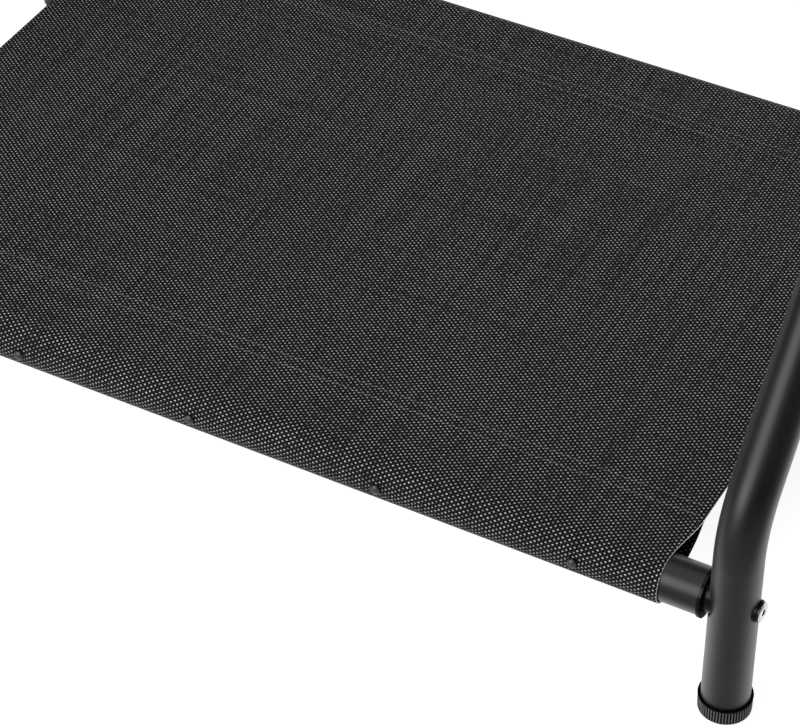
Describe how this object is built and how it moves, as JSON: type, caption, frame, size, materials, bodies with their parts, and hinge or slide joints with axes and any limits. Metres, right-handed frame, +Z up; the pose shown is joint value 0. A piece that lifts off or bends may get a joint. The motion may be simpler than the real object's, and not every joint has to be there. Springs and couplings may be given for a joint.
{
  "type": "dog bed with frame",
  "caption": "Raised dog bed: a mesh sling on a tubular steel frame with an arched hoop at each end.",
  "frame": {"origin": "on the floor, in the middle of the bed", "axes": "+X along the bed towards the right-hand end frame, +Y towards the back, +Z up"},
  "size_m": [0.8452, 0.5042, 0.316],
  "materials": {
    "frame_paint": "satin black powder coat",
    "sling_mesh": "coated polyester mesh, black",
    "cap_plastic": "moulded, ribbed",
    "plug_plastic": "moulded",
    "washer_plastic": "moulded",
    "insert_steel": "yellow zinc",
    "bolt_steel": "nickel plated, worn black on the rim",
    "screw_steel": "black, smooth dome"
  },
  "bodies": {
    "root": {"end_frame_left": "frame_paint", "end_frame_right": "frame_paint", "front_rail": "frame_paint", "back_rail": "frame_paint", "sling": "sling_mesh", "foot_cap_front_left": "cap_plastic", "rail_plug_front_left": "plug_plastic", "rail_insert_front_left": "insert_steel", "saddle_washer_front_left": "washer_plastic", "frame_bolt_front_left": "bolt_steel", "foot_cap_front_right": "cap_plastic", "rail_plug_front_right": "plug_plastic", "rail_insert_front_right": "insert_steel", "saddle_washer_front_right": "washer_plastic", "frame_bolt_front_right": "bolt_steel", "foot_cap_back_left": "cap_plastic", "rail_plug_back_left": "plug_plastic", "rail_insert_back_left": "insert_steel", "saddle_washer_back_left": "washer_plastic", "frame_bolt_back_left": "bolt_steel", "foot_cap_back_right": "cap_plastic", "rail_plug_back_right": "plug_plastic", "rail_insert_back_right": "insert_steel", "saddle_washer_back_right": "washer_plastic", "frame_bolt_back_right": "bolt_steel", "sling_screw_front_1": "screw_steel", "sling_screw_front_2": "screw_steel", "sling_screw_front_3": "screw_steel", "sling_screw_front_4": "screw_steel", "sling_screw_front_5": "screw_steel", "sling_screw_back_1": "screw_steel", "sling_screw_back_2": "screw_steel", "sling_screw_back_3": "screw_steel", "sling_screw_back_4": "screw_steel", "sling_screw_back_5": "screw_steel"}
  },
  "joints": []
}
